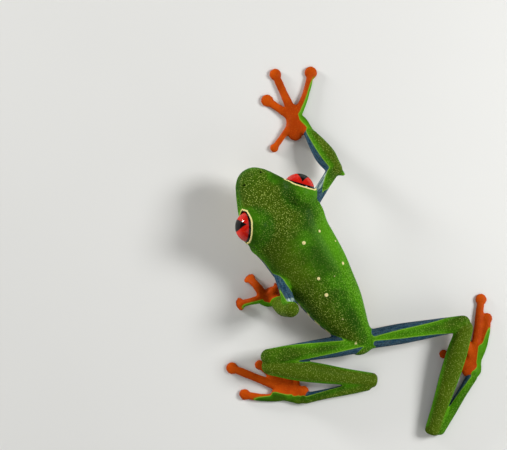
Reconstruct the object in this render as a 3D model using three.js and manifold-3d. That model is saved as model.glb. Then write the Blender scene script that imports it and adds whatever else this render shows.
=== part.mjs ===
// Red-eyed tree frog, life size, resting flat with its arms spread and its hind legs folded.
// Millimetres, +Z up. The origin is on the flat under the belly; the head faces -Y, its left is +X.
import * as THREE from 'three';
import { mergeVertices } from 'three/addons/utils/BufferGeometryUtils.js';
import Module from 'manifold-3d';

const wasm = await Module();
wasm.setup();

// ---------- driving dimensions ----------
const BODY_LENGTH = 54.8; // snout to vent
const VENT_Y = 11.4;
const HEAD_WIDTH = 20.6;
const NECK_Y = -24.2; // where head and trunk part
const GAP = 0.3; // clear space between neighbouring pieces
const SLIVER = 0.05; // detail smaller than this is tidied away

const EYE_RADIUS = 3.95;
const EYE_SPREAD = 15; // between the eyeballs' centres
const EYE_Y = -31.6;
const EYE_HEIGHT = 12.3;
const LID_RADIUS = 4.9;
const LID_DEPTH = 1.2; // how far the lids' centre lies behind the eyeball's
const LID_OPENING = 1.2; // how far the lids' open edge lies ahead of the eyeball's centre
const EYE_FACING = 36; // degrees that each eye looks ahead of square to the side
const EYE_LOOK_UP = 10;
const EAR_RADIUS = 1.3;
const EAR_PLACE = [8.9, -4.9, -2.0]; // sideways, ahead and up from midway between the eyes
const HEAD_MIDDLE = 0.55; // x of the point midway between the eyes
const HEAD_YAW = 4.5; // the head is turned a little to its left

const THIGH = 24.6;
const SHANK = 26.4;
const TARSUS = 16;
const SOLE = 2.6; // from the ankle to the point where the toes meet
const UPPER_ARM = 14.5;
const FOREARM = 12.6;
const PALM = 4.2; // from the wrist to the point where the fingers meet

// Half sizes at even steps along each limb, from the body outwards.
const UPPER_ARM_SIZES = [1.9, 1.5, 1.6];
const FOREARM_WIDTHS = [2.0, 2.6, 2.1, 1.2];
const FOREARM_DEPTHS = [1.9, 2.3, 1.9, 1.1];
const HAND_WIDTHS = [1.4, 2.0, 2.0];
const THIGH_WIDTHS = [2.4, 2.6, 2.3, 1.95];
const THIGH_DEPTHS = [2.5, 2.7, 2.3, 2.0];
const SHANK_WIDTHS = [2.1, 2.6, 2.5, 2.1, 1.9];
const SHANK_DEPTHS = [2.0, 2.3, 2.2, 1.9, 1.8];
const TARSUS_WIDTHS = [1.35, 1.35, 1.25, 1.4];
const TARSUS_DEPTHS = [1.5, 1.4, 1.3, 1.3];
const FOOT_WIDTHS = [1.35, 2.2, 2.2];
const PALM_DEPTHS = [1.1, 0.95, 0.85];
// The soft heel of a hand or foot: its place from the wrist or ankle, and its half width.
const HAND_HEEL = { ahead: 1.6, inward: 2.6, half: 1.9 };
// The foot's outer bone: where it starts, ahead of and out of the ankle, and its half width.
const FOOT_EDGE = { ahead: 1.1, out: 0.9, half: 1.15 };
const FOOT_HEEL = { ahead: 1.1, inward: 1.4, half: 1.4 };
const HEEL_HALF_DEPTH = 0.95;

const TOE_REACH = [5.4, 8.3, 11.6, 17.3, 12.9];
const TOE_PADS = [0.9, 1.05, 1.15, 1.4, 1.3];
const TOE_WIDTHS = [0.7, 0.75, 0.85, 0.95, 0.9]; // half widths
const FINGER_REACH = [9.2, 8.6, 12.6, 12.9];
const FINGER_PADS = [1.0, 1.5, 1.45, 1.55];
const FINGER_WIDTHS = [0.7, 0.95, 0.95, 0.85];
const DIGIT_HALF_DEPTH = 0.7;
const PAD_THICKNESS = 1.1;
const PAD_RUN = [1.7, 0.3]; // a pad swells between these distances from its middle, in pad radii
const KNUCKLE_RAISE = 4; // extra knuckle height of a fully drawn-in hand
const PRESSED = 0.06; // how far soft undersides are flattened by the floor
const WEB_THICKNESS = 0.7;
const PALM_EDGE = 1.2; // where a digit leaves the middle of the palm
const WEB_REACH = 0.52; // share of a digit that its webs and palm hold
const FOOT_WEB_LIMIT = 6;
const HAND_WEB_LIMIT = 4.8;
const WEB_SCALLOP = 0.35; // how far the free edge of a web is drawn in

const GREEN = { color: 0x3f8f1f, roughness: 0.45, metalness: 0 };
const ORANGE = { color: 0xd8501a, roughness: 0.45, metalness: 0 };
const RED = { color: 0xb3140f, roughness: 0.1, metalness: 0 };

// The body from vent (0) to snout (1): place, midline x, half width, top z and underside z.
const BODY_STATIONS = [
  [-0.02, -0.2, 2.9, 6.2, 3.0],
  [0.04, -0.1, 3.4, 7.4, 1.7],
  [0.11, 0.0, 4.2, 8.7, 0.7],
  [0.17, 0.0, 5.4, 9.6, 0.0],
  [0.24, 0.0, 6.7, 10.6, -0.25],
  [0.34, 0.0, 7.8, 11.9, -0.2],
  [0.44, 0.1, 8.8, 13.1, 0.7],
  [0.54, 0.3, 9.3, 14.2, 2.2],
  [0.62, 0.4, 9.6, 14.9, 3.5],
  [0.69, 0.4, HEAD_WIDTH / 2, 15.3, 4.5],
  [0.78, 0.6, 9.1, 15.5, 5.3],
  [0.86, 0.95, 7.3, 15.1, 6.2],
  [0.92, 1.05, 5.55, 14.3, 7.1],
  [0.97, 1.2, 4.0, 13.4, 7.8],
  [1.02, 1.4, 3.3, 12.8, 8.3],
];
const VENT_ROUNDING = 1.7;
const SNOUT_ROUNDING = 2.8;
const SQUARENESS = 0.88; // 1 is an ellipse, less is boxier
const WIDEST = 0.46; // where the section is widest, as a share of its height

// Each side's joints, as heading and rise in degrees. Heading 0 is straight ahead, 90 is to the left.
// A digit is a heading and the sideways bow of its middle; knee and heel also have their breadth.
const SIDES = {
  left: {
    shoulder: new THREE.Vector3(6.7, -21.1, 7.1),
    upperArm: [158.9, 25.7],
    forearm: [8, -74.6],
    palm: [39, -5],
    palmShare: 0.61,
    fingers: [[-125, 0], [-86, 0], [3.5, 0], [69.4, 0]],
    fingerShare: 0.5, // the fingers are drawn in, with their knuckles raised
    hip: new THREE.Vector3(-0.4, 8.8, 5.0),
    thigh: [63.9, 3],
    knee: [157, -17.6, 2.6],
    shank: [-131.9, -8.1],
    heel: [120, -12, 1.65],
    tarsus: [66.8, -0.7],
    sole: [29, -9],
    toes: [[-38.9, 0], [-5.6, 0], [17.5, 0], [34, 0], [56.5, 0.9]],
  },
  right: {
    shoulder: new THREE.Vector3(-5.7, -26.1, 8.0),
    upperArm: [-68, -9.4],
    forearm: [-3, -18],
    palm: [10.7, -8],
    palmShare: 1,
    fingers: [[109.7, 0], [22.4, 0], [-10.5, 0], [-52.9, -0.5]],
    fingerShare: 1,
    hip: new THREE.Vector3(-2.0, 8.9, 5.0),
    thigh: [-114.7, -0.5],
    knee: [167, 0, 1.4],
    shank: [128.6, -6.6],
    heel: [-142, -12, 1.95],
    tarsus: [-67.2, -0.8],
    sole: [-45, -9],
    toes: [[65, 0], [33.3, 0], [-19.7, 0], [-42.2, 0], [-52, -1]],
  },
};

// ---------- small helpers ----------
const group = new THREE.Group();
const UPRIGHT = new THREE.Vector3(0, 1, 0);

function direction(headingDegrees, riseDegrees) {
  const heading = THREE.MathUtils.degToRad(headingDegrees);
  const rise = THREE.MathUtils.degToRad(riseDegrees);
  return new THREE.Vector3(
    Math.sin(heading) * Math.cos(rise),
    -Math.cos(heading) * Math.cos(rise),
    Math.sin(rise),
  );
}

function step(from, [heading, rise], length) {
  return from.clone().addScaledVector(direction(heading, rise), length);
}

// A smooth function of 0 to 1 through a list of evenly spaced values.
function profile(values) {
  const places = values.map((_, i) => i / (values.length - 1));
  const curve = new THREE.CubicInterpolant(places, values, 1);
  return (t) => curve.evaluate(t)[0];
}

function solid(geometry) {
  geometry.deleteAttribute('normal');
  geometry.deleteAttribute('uv');
  const merged = mergeVertices(geometry, 1e-4);
  return new wasm.Manifold(new wasm.Mesh({
    numProp: 3,
    vertProperties: new Float32Array(merged.attributes.position.array),
    triVerts: new Uint32Array(merged.index.array),
  }));
}

function unite(solids) {
  return solids.reduce((whole, next) => whole.add(next));
}

// Moves every vertex of a closed geometry with place(vertex).
function warp(geometry, place) {
  const positions = geometry.attributes.position;
  const vertex = new THREE.Vector3();
  for (let i = 0; i < positions.count; i += 1) {
    vertex.fromBufferAttribute(positions, i);
    place(vertex);
    positions.setXYZ(i, vertex.x, vertex.y, vertex.z);
  }
  return geometry;
}

// A round-ended limb through the points: width and depth are half sizes as functions of 0 to 1.
function limb({ points, width, depth = width, around = 10, along = 9 }, grow = 0) {
  const curve = new THREE.CatmullRomCurve3(points, false, 'centripetal');
  const length = curve.getLength();
  const startRadius = width(0) + grow;
  const endRadius = width(1) + grow;
  const run = startRadius + length + endRadius;
  const up = new THREE.Vector3(0, 0, 1);
  return solid(warp(new THREE.SphereGeometry(1, around, along), (vertex) => {
    const distance = ((1 - vertex.y) / 2) * run - startRadius;
    const t = THREE.MathUtils.clamp(distance / length, 0, 1);
    const overrun = distance - t * length;
    const endSize = overrun < 0 ? startRadius : endRadius;
    const roundness = Math.sqrt(Math.max(0, 1 - (overrun / endSize) ** 2));
    const tangent = curve.getTangentAt(t);
    const side = new THREE.Vector3().crossVectors(up, tangent).normalize();
    const top = new THREE.Vector3().crossVectors(tangent, side);
    const ring = Math.hypot(vertex.x, vertex.z) || 1;
    const across = (vertex.x / ring) * roundness * (width(t) + grow);
    const above = (vertex.z / ring) * roundness * (depth(t) + grow);
    vertex.copy(curve.getPointAt(t))
      .addScaledVector(tangent, overrun)
      .addScaledVector(side, across)
      .addScaledVector(top, above);
  }));
}

// A ball whose pole faces a given way; past a limit along that way it is cut flat.
function ball(center, radius, around = 14, along = 8, facing = UPRIGHT, limit = radius) {
  const turn = new THREE.Quaternion().setFromUnitVectors(UPRIGHT, facing);
  return solid(warp(new THREE.SphereGeometry(radius, around, along), (vertex) => {
    vertex.y = Math.min(vertex.y, limit);
    vertex.applyQuaternion(turn).add(center);
  }));
}

function block(low, high) {
  const size = new THREE.Vector3().subVectors(high, low);
  const middle = new THREE.Vector3().addVectors(low, high).multiplyScalar(0.5);
  const geometry = new THREE.BoxGeometry(size.x, size.y, size.z);
  geometry.translate(middle.x, middle.y, middle.z);
  return solid(geometry);
}

// Everything under the floor is taken off what stands on it, which leaves small flats at one level.
const underFloor = block(new THREE.Vector3(-80, -80, -10), new THREE.Vector3(80, 80, 0));

// Cuts can shave off crumbs too small to see; the piece itself is the largest body.
function mainBody(shape) {
  return shape.decompose().reduce((best, next) => (next.volume() > best.volume() ? next : best));
}

function addNode(name, shape, finish) {
  const { vertProperties, triVerts } = mainBody(shape.simplify(SLIVER)).getMesh();
  const geometry = new THREE.BufferGeometry();
  geometry.setAttribute('position', new THREE.BufferAttribute(vertProperties, 3));
  geometry.setIndex(new THREE.BufferAttribute(triVerts, 1));
  geometry.computeVertexNormals();
  const mesh = new THREE.Mesh(geometry, new THREE.MeshStandardMaterial(finish));
  mesh.name = name;
  group.add(mesh);
}

// ---------- head and trunk ----------
const bodyCurve = new THREE.CubicInterpolant(
  BODY_STATIONS.map(([place]) => place),
  BODY_STATIONS.flatMap(([, ...sizes]) => sizes),
  4,
);

// One closed skin from the vent to the snout, slightly squared in section.
function bodyShape(grow = 0) {
  return solid(warp(new THREE.SphereGeometry(1, 18, 23), (vertex) => {
    const fromVent = ((1 - vertex.y) / 2) * (BODY_LENGTH + 2 * grow) - grow;
    const toEnd = Math.min(fromVent + grow, BODY_LENGTH + grow - fromVent);
    const rounding = fromVent < BODY_LENGTH / 2 ? VENT_ROUNDING : SNOUT_ROUNDING;
    const inEnd = Math.min(toEnd / rounding, 1);
    const roundness = Math.sqrt(Math.max(0, 1 - (1 - inEnd) ** 2));
    const [middle, half, top, under] = bodyCurve.evaluate(fromVent / BODY_LENGTH);
    const centre = under + (top - under) * WIDEST;
    const height = vertex.z > 0 ? top - centre : centre - under;
    const ring = Math.hypot(vertex.x, vertex.z) || 1;
    const squared = (value) => Math.sign(value) * Math.abs(value) ** SQUARENESS;
    vertex.x = middle + squared(vertex.x / ring) * (half + grow) * roundness;
    vertex.y = VENT_Y - fromVent;
    vertex.z = centre + squared(vertex.z / ring) * (height + grow) * roundness;
  }));
}

const body = bodyShape();
const bodyWithGap = bodyShape(GAP);
const farBack = new THREE.Vector3(40, 40, 40);
const farFront = new THREE.Vector3(-40, -60, -20);
const aheadOfNeck = block(farFront, new THREE.Vector3(40, NECK_Y, 40));
const behindFace = block(new THREE.Vector3(-40, NECK_Y - GAP, -20), farBack);
addNode('trunk', body.subtract(aheadOfNeck).subtract(underFloor), GREEN);

// A point of the head, from midway between the eyes: sideways to its left, ahead and up.
function headPoint(side, ahead, up) {
  const midway = new THREE.Vector3(HEAD_MIDDLE, EYE_Y, EYE_HEIGHT + up);
  return step(step(midway, [HEAD_YAW, 0], ahead), [HEAD_YAW + 90, 0], side);
}

let head = body.subtract(behindFace);
for (const [side, sign] of [['left', 1], ['right', -1]]) {
  const eye = headPoint(sign * EYE_SPREAD / 2, 0, 0);
  const gaze = direction(HEAD_YAW + sign * (90 - EYE_FACING), EYE_LOOK_UP);
  const lids = eye.clone().addScaledVector(gaze, -LID_DEPTH);
  const [earSide, earAhead, earUp] = EAR_PLACE;
  const ear = headPoint(sign * earSide, earAhead, earUp);
  head = head
    .add(ball(lids, LID_RADIUS, 14, 10, gaze, LID_DEPTH + LID_OPENING))
    .subtract(ball(eye, EYE_RADIUS + GAP, 14, 8, gaze))
    .subtract(ball(ear, EAR_RADIUS + GAP, 8, 5));
  addNode(`eye_${side}`, ball(eye, EYE_RADIUS, 14, 8, gaze), RED);
  addNode(`ear_${side}`, ball(ear, EAR_RADIUS, 8, 5), GREEN);
}
addNode('head', head, GREEN);

// ---------- digits, hands and feet ----------
// A digit runs from the palm to its round pad. Bow is how far its middle swings to larger headings.
function digit(root, [heading, bow], reach, knuckleHeight, halfWidth, padRadius) {
  const tip = step(root, [heading, 0], reach).setZ(PAD_THICKNESS / 2 - PRESSED);
  const start = root.clone().lerp(tip, PALM_EDGE / reach);
  const middle = root.clone().lerp(tip, 0.5)
    .addScaledVector(direction(heading + 90, 0), bow)
    .setZ(knuckleHeight);
  const [padStart, padEnd] = PAD_RUN.map((radii) => 1 - (radii * padRadius) / reach);
  const swell = (t) => THREE.MathUtils.smoothstep(t, padStart, padEnd);
  return {
    points: [start, middle, tip],
    width: (t) => THREE.MathUtils.lerp(halfWidth, padRadius, swell(t)),
    depth: (t) => THREE.MathUtils.lerp(DIGIT_HALF_DEPTH, PAD_THICKNESS / 2, swell(t)),
    around: 7,
    along: 8,
    reach,
  };
}

function pointAlong(finger, distance) {
  const curve = new THREE.CatmullRomCurve3(finger.points, false, 'centripetal');
  return curve.getPointAt((distance - PALM_EDGE) / (finger.reach - PALM_EDGE));
}

// Thin skin between two digits, its free edge drawn in towards the palm.
function web(root, first, firstExtent, second, secondExtent) {
  const near = pointAlong(first, firstExtent);
  const far = pointAlong(second, secondExtent);
  const pull = near.clone().add(far).multiplyScalar(0.5).lerp(root, WEB_SCALLOP);
  const outline = new THREE.Shape();
  outline.moveTo(root.x, root.y);
  outline.lineTo(near.x, near.y);
  outline.quadraticCurveTo(pull.x, pull.y, far.x, far.y);
  outline.closePath();
  const sheet = new THREE.ExtrudeGeometry(outline, {
    depth: WEB_THICKNESS,
    bevelEnabled: false,
    curveSegments: 2,
  });
  const slope = near.distanceTo(root);
  return solid(warp(sheet, (vertex) => {
    const out = Math.min(Math.hypot(vertex.x - root.x, vertex.y - root.y) / slope, 1);
    vertex.z += THREE.MathUtils.lerp(root.z, near.z, out) - WEB_THICKNESS / 2;
  }));
}

// A hand or foot is made whole, then each digit is parted from it by a round cut outside the webs.
function addExtremity(side, { name, digitName, root, back, digits, widths, heel, edge, share = 1, webLimit, keepClear }) {
  const extents = digits.map((finger) => Math.min(finger.reach * WEB_REACH, webLimit));
  const sole = limb({
    points: [back, back.clone().lerp(root, 0.5), root],
    width: profile(widths),
    depth: profile(PALM_DEPTHS),
    around: 8,
    along: 5,
  });
  const forward = new THREE.Vector3().subVectors(root, back).setZ(0).normalize();
  const inward = new THREE.Vector3(forward.y, -forward.x, 0).multiplyScalar(side === 'left' ? 1 : -1);
  const heelPoint = back.clone()
    .addScaledVector(forward, heel.ahead * share)
    .addScaledVector(inward, heel.inward * share)
    .setZ(HEEL_HALF_DEPTH - PRESSED);
  const softHeel = {
    points: [heelPoint, heelPoint.clone().lerp(root, 0.5), root],
    width: () => heel.half,
    depth: () => HEEL_HALF_DEPTH,
    around: 8,
    along: 4,
  };
  const outerBone = [];
  if (edge) {
    const outermost = digits.at(-1);
    const end = root.clone().lerp(outermost.points[2], (extents.at(-1) - GAP - edge.half - 0.2) / outermost.reach);
    const start = back.clone().addScaledVector(forward, edge.ahead).addScaledVector(inward, -edge.out).setZ(end.z);
    const points = [start, start.clone().lerp(end, 0.5), end];
    outerBone.push(limb({ ...softHeel, points, width: () => edge.half, around: 6, along: 3 }));
  }
  const stubs = digits.map((finger, i) => (
    limb({ ...finger, along: 5 }).intersect(ball(root, extents[i], 8, 5))));
  const webs = digits.slice(1).map((finger, i) => (
    web(root, digits[i], extents[i] - GAP, finger, extents[i + 1] - GAP)));
  const whole = unite([sole, limb(softHeel), ...outerBone, ...stubs, ...webs]);
  addNode(`${name}_${side}`, whole.subtract(keepClear).subtract(underFloor), ORANGE);
  digits.forEach((finger, i) => {
    let far = limb(finger).subtract(ball(root, extents[i] + GAP, 8, 5)).subtract(limb(softHeel, GAP));
    if (i > 0) {
      far = far.subtract(limb(digits[i - 1], GAP));
    }
    far = far.subtract(keepClear).subtract(underFloor);
    addNode(`${digitName}_${side}_${i + 1}`, far, ORANGE);
  });
}

// ---------- limbs ----------
function through(start, end, widths, depths = widths) {
  const points = [start, start.clone().lerp(end, 0.5), end];
  return { points, width: profile(widths), depth: profile(depths) };
}

function addArm(side, pose) {
  const elbow = step(pose.shoulder, pose.upperArm, UPPER_ARM);
  const wrist = step(elbow, pose.forearm, FOREARM);
  const palm = step(wrist, pose.palm, PALM * pose.palmShare);
  const upperArm = through(pose.shoulder, elbow, UPPER_ARM_SIZES);
  const forearm = through(elbow, wrist, FOREARM_WIDTHS, FOREARM_DEPTHS);
  addNode(`upper_arm_${side}`, limb(upperArm).subtract(bodyWithGap), GREEN);
  addNode(`forearm_${side}`, limb(forearm).subtract(limb(upperArm, GAP)).subtract(underFloor), GREEN);
  const knuckles = DIGIT_HALF_DEPTH - PRESSED + (1 - pose.fingerShare) * KNUCKLE_RAISE;
  addExtremity(side, {
    name: 'hand',
    digitName: 'finger',
    root: palm,
    back: wrist,
    digits: pose.fingers.map((aim, i) => (
      digit(palm, aim, FINGER_REACH[i] * pose.fingerShare, knuckles, FINGER_WIDTHS[i], FINGER_PADS[i]))),
    widths: HAND_WIDTHS,
    heel: HAND_HEEL,
    share: pose.palmShare,
    webLimit: HAND_WEB_LIMIT,
    keepClear: limb(forearm, GAP),
  });
}

function addLeg(side, pose, otherThigh) {
  const kneeAbove = step(pose.hip, pose.thigh, THIGH);
  const kneeBelow = step(kneeAbove, pose.knee, pose.knee[2]);
  const heelAbove = step(kneeBelow, pose.shank, SHANK);
  const heelBelow = step(heelAbove, pose.heel, pose.heel[2]);
  const ankle = step(heelBelow, pose.tarsus, TARSUS);
  const sole = step(ankle, pose.sole, SOLE);
  const thigh = through(pose.hip, kneeAbove, THIGH_WIDTHS, THIGH_DEPTHS);
  const shank = through(kneeBelow, heelAbove, SHANK_WIDTHS, SHANK_DEPTHS);
  const tarsus = through(heelBelow, ankle, TARSUS_WIDTHS, TARSUS_DEPTHS);
  let thighSolid = limb(thigh).subtract(bodyWithGap);
  if (otherThigh) {
    thighSolid = thighSolid.subtract(limb(otherThigh, GAP));
  }
  addNode(`thigh_${side}`, thighSolid, GREEN);
  addNode(`shank_${side}`, limb(shank).subtract(limb(thigh, GAP)).subtract(underFloor), GREEN);
  addNode(`tarsus_${side}`, limb(tarsus).subtract(limb(shank, GAP)).subtract(underFloor), GREEN);
  addExtremity(side, {
    name: 'foot',
    digitName: 'toe',
    root: sole,
    back: ankle,
    digits: pose.toes.map((aim, i) => (
      digit(sole, aim, TOE_REACH[i], DIGIT_HALF_DEPTH - PRESSED, TOE_WIDTHS[i], TOE_PADS[i]))),
    widths: FOOT_WIDTHS,
    heel: FOOT_HEEL,
    edge: FOOT_EDGE,
    webLimit: FOOT_WEB_LIMIT,
    keepClear: limb(tarsus, GAP),
  });
  return thigh;
}

let firstThigh = null;
for (const [side, pose] of Object.entries(SIDES)) {
  addArm(side, pose);
  firstThigh = addLeg(side, pose, firstThigh);
}

export default group;
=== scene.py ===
"""Looks of the red-eyed tree frog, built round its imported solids.

Run as a script. Lengths are millimetres until finish_piece brings a mesh to metres.
"""
import math

import bmesh
import bpy
import numpy as np
from mathutils import Matrix, Vector


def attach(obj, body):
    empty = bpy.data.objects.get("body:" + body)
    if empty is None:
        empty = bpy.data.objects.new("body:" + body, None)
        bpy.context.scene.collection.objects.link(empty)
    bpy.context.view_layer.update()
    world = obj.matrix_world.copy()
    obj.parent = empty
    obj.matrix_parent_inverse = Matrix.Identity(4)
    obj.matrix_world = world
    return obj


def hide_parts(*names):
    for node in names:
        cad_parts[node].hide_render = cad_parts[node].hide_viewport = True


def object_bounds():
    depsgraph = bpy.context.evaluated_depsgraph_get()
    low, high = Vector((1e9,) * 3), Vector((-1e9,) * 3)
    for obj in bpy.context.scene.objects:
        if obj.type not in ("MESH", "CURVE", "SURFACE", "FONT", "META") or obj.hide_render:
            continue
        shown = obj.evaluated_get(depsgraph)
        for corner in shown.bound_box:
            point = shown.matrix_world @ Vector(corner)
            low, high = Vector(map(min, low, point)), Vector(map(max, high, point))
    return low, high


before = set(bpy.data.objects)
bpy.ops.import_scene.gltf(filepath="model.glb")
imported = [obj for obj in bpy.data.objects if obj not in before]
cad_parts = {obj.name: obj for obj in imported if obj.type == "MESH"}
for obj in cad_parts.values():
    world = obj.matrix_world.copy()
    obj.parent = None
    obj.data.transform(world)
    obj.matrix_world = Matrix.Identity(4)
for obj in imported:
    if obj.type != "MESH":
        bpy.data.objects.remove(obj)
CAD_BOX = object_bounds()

bl_info = {
    "name": "Tree Frog Looks",
    "version": (1, 0, 0),
    "blender": (4, 5, 0),
    "location": "View3D > Sidebar > Tree Frog",
    "description": "Skin, eyes, lids and studio for a life-size red-eyed tree frog",
    "category": "Object",
}

MM = 0.001  # metres in a millimetre
UP = np.array([0.0, 0.0, 1.0])

# --- sizes shared with the solids ---
BODY_LENGTH = 54.8
VENT_Y = 11.4
HEAD_WIDTH = 20.6
EYE_RADIUS = 3.95
EYE_SPREAD = 15.0
EYE_Y = -31.6
EYE_HEIGHT = 12.3
LID_RADIUS = 4.9
LID_DEPTH = 1.2
LID_OPENING = 1.2
EYE_FACING = 36.0
EYE_LOOK_UP = 10.0
EAR_PLACE = (8.9, -4.9, -2.0)
HEAD_MIDDLE = 0.55
HEAD_YAW = 4.5
THIGH = 24.6
SHANK = 26.4
TARSUS = 16.0
SOLE = 2.6
UPPER_ARM = 14.5
FOREARM = 12.6
PALM = 4.2

# Half widths and half depths along each kind of limb. The spur is an elbow's point.
SECTIONS = {
    "upper_arm": ((1.9, 1.5, 1.6), (1.9, 1.5, 1.6)),
    "forearm": ((2.0, 2.6, 2.1, 1.2), (1.9, 2.3, 1.9, 1.1)),
    "palm": ((1.4, 2.0, 2.0), (1.1, 0.95, 0.85)),
    "thigh": ((2.4, 2.6, 2.3, 1.95), (2.5, 2.7, 2.3, 2.0)),
    "shank": ((2.1, 2.6, 2.5, 2.1, 1.9), (2.0, 2.3, 2.2, 1.9, 1.8)),
    "tarsus": ((1.35, 1.35, 1.25, 1.4), (1.5, 1.4, 1.3, 1.3)),
    "sole": ((1.35, 2.2, 2.2), (1.1, 0.95, 0.85)),
    "spur": ((1.7, 1.1, 0.35), (1.6, 1.0, 0.35)),
}
# The soft heel of a hand or foot: ahead and inward of the wrist or ankle, and its half width.
HAND_HEEL = (1.6, 2.6, 1.9)
FOOT_HEEL = (1.1, 1.4, 1.4)
HEEL_HALF_DEPTH = 0.95
# The foot's outer bone: where it starts, ahead of and out of the ankle, and its half width.
FOOT_EDGE = (1.1, 0.9, 1.15)
# Painted highlight: pale blue that stands in for the shine of wet skin on the upper arms and knees.

# Reach, half width and pad radius of each digit, from the innermost to the outermost.
FINGERS = ((9.2, 0.7, 1.0), (8.6, 0.95, 1.5), (12.6, 0.95, 1.45), (12.9, 0.85, 1.55))
TOES = (
    (5.4, 0.7, 0.9), (8.3, 0.75, 1.05), (11.6, 0.85, 1.15), (17.3, 0.95, 1.4), (12.9, 0.9, 1.3),
)
DIGIT_HALF_DEPTH = 0.7
PAD_THICKNESS = 1.1
PRESSED = 0.06  # how far soft undersides are flattened by the floor
KNUCKLE_RAISE = 4.0  # for a digit drawn in all the way
WEB_REACH = 0.52  # as a share of the digit's reach

# The body from vent (0) to snout (1): place, midline x, half width, top z and underside z.
BODY_STATIONS = np.array([
    (-0.02, -0.2, 2.9, 6.2, 3.0),
    (0.04, -0.1, 3.4, 7.4, 1.7),
    (0.11, 0.0, 4.2, 8.7, 0.7),
    (0.17, 0.0, 5.4, 9.6, 0.0),
    (0.24, 0.0, 6.7, 10.6, -0.25),
    (0.34, 0.0, 7.8, 11.9, -0.2),
    (0.44, 0.1, 8.8, 13.1, 0.7),
    (0.54, 0.3, 9.3, 14.2, 2.2),
    (0.62, 0.4, 9.6, 14.9, 3.5),
    (0.69, 0.4, HEAD_WIDTH / 2, 15.3, 4.5),
    (0.78, 0.6, 9.1, 15.5, 5.3),
    (0.86, 0.95, 7.3, 15.1, 6.2),
    (0.92, 1.05, 5.55, 14.3, 7.1),
    (0.97, 1.2, 4.0, 13.4, 7.8),
    (1.02, 1.4, 3.3, 12.8, 8.3),
])
VENT_ROUNDING = 1.7
SNOUT_ROUNDING = 2.8
SQUARENESS = 0.88  # 1 is round, less is squarer
WIDEST = 0.46  # how high the widest line runs, as a share

# --- sizes of the skin alone ---
DIGIT_TAPER = (1.34, 1.26, 1.18, 1.04, 1.1, 0.95)
SKIN_SHRINK = 0.12  # what wrapping and smoothing the skin takes off a pad's radius
FOOT_WEB_LIMIT = 6.6
HAND_WEB_LIMIT = 6.2
WEB_THICKNESS = 0.65
WEB_SCALLOP = 0.38  # how far the free edge of a web is drawn in
BONE_CLEARANCE = 0.3  # how far the foot's outer bone ends short of the web's edge
SOCKET_RADIUS = EYE_RADIUS + 0.06
SOCKET_OPENING = math.sqrt(SOCKET_RADIUS ** 2 - LID_OPENING ** 2)
SKIN_LID_RADIUS = 4.78
LID_ROLL = 0.2  # how far the roll along the lids lies from their open edge
SMOOTHING = (0.5, -0.53)  # a step towards the neighbours, then one back against shrinking
LIMB_REACH = 4  # how far from its middle line a limb's markings may lie

# How a limb is painted, unless it says otherwise.
# Angles go round the limb in degrees: 0 is its left, 90 its top.
NO_GREEN = (-90,)
PLAIN = {
    "green": (90,),  # middle of its green stripe, from start to end
    "half": NO_GREEN,  # half width of that stripe
    "warm": None,  # -1 is orange all over, a share of the length is orange from there on
    "olive": 0.3,  # how brown its green is
    # rim: how strong the painted rim light along the edges of its green is
    "rim": 0.7,  # how bright the edges of its green are
    "grain": 0.7,  # how granular it is
    "squared_end": 2.0,  # 2 rounds its end, more squares it
}

# The left side's pose, then the right side's. Limbs have a heading and a rise in degrees:
# heading 0 is ahead, 90 is to the frog's left. A knee or heel has its length as well.
# outer is the side of a limb, seen along it, that faces away from the body: 1 for its left.
POSE = {
    "outer": (1, -1),
    "shoulder": ((6.7, -21.1, 7.1), (-5.7, -26.1, 8.0)),
    "upper_arm": ((158.9, 25.7), (-68, -9.4)),
    "elbow_point": (None, (-1.2, 2.6, 0.0)),
    "forearm": ((8, -74.6), (-3, -18)),
    "palm": ((39, -5), (10.7, -8)),
    "palm_share": (0.61, 1),
    "fingers": (
        ((-125, 0), (-86, 0), (3.5, 0), (69.4, 0)),
        ((109.7, 0), (22.4, 0), (-10.5, 0), (-52.9, -0.5)),
    ),
    "finger_share": (0.5, 1),
    "hip": ((-0.4, 8.8, 5.0), (-2.0, 8.9, 5.0)),
    "thigh": ((63.9, 3), (-114.7, -0.5)),
    "knee": ((157, -17.6, 2.6), (167, 0, 1.4)),
    "shank": ((-131.9, -8.1), (128.6, -6.6)),
    "heel": ((120, -12, 1.65), (-142, -12, 1.95)),
    "tarsus": ((66.8, -0.7), (-67.2, -0.8)),
    "sole": ((29, -9), (-45, -9)),
    "toes": (
        ((-38.9, 0), (-5.6, 0), (17.5, 0), (34, 0), (56.5, 0.9)),
        ((65, 0), (33.3, 0), (-19.7, 0), (-42.2, 0), (-52, -1)),
    ),
    "thigh_green": ((20, 30, 44, 70, 112), (12, 23, 33, 54, 112)),
    "arm_green": (158, 110),
    "arm_green_half": ((-60, -60, -25, 10, 36, 62), (-40, -40, -10, 35, 70, 90)),
    "arm_cover": ((20, (170, 170, 85, 45, -20, -60)), (110, NO_GREEN)),
    # Painted highlight along each upper arm: its middle angle, half width, and the share of the
    # length it starts from.
    "arm_sheen": ((75, 60, 0.84), (46, 21, 0.05)),
    "forearm_green": (45, 118),
    "forearm_green_half": ((112, 112, 106, 60, 40), (67,)),
    "sleeve": (0.66, 1),
    "tarsus_olive": (0.8, 0.15),
}
SIDES = [{name: values[side] for name, values in POSE.items()} for side in (0, 1)]

# Pale warts of the back: x, y and radius.
WARTS = (
    (-0.2, -20.6, 0.46),
    (-5.2, -20.8, 0.35),
    (-6.1, -10.9, 0.4),
    (1.4, -11.3, 0.4),
    (1.9, -6.8, 0.48),
    (1.9, 7.5, 0.4),
    (-7.6, -16.5, 0.24),
    (-2.3, -9.5, 0.2),
    (1.6, 0.5, 0.2),
)

FLESH = [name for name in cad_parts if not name.startswith("eye_")]


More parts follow.
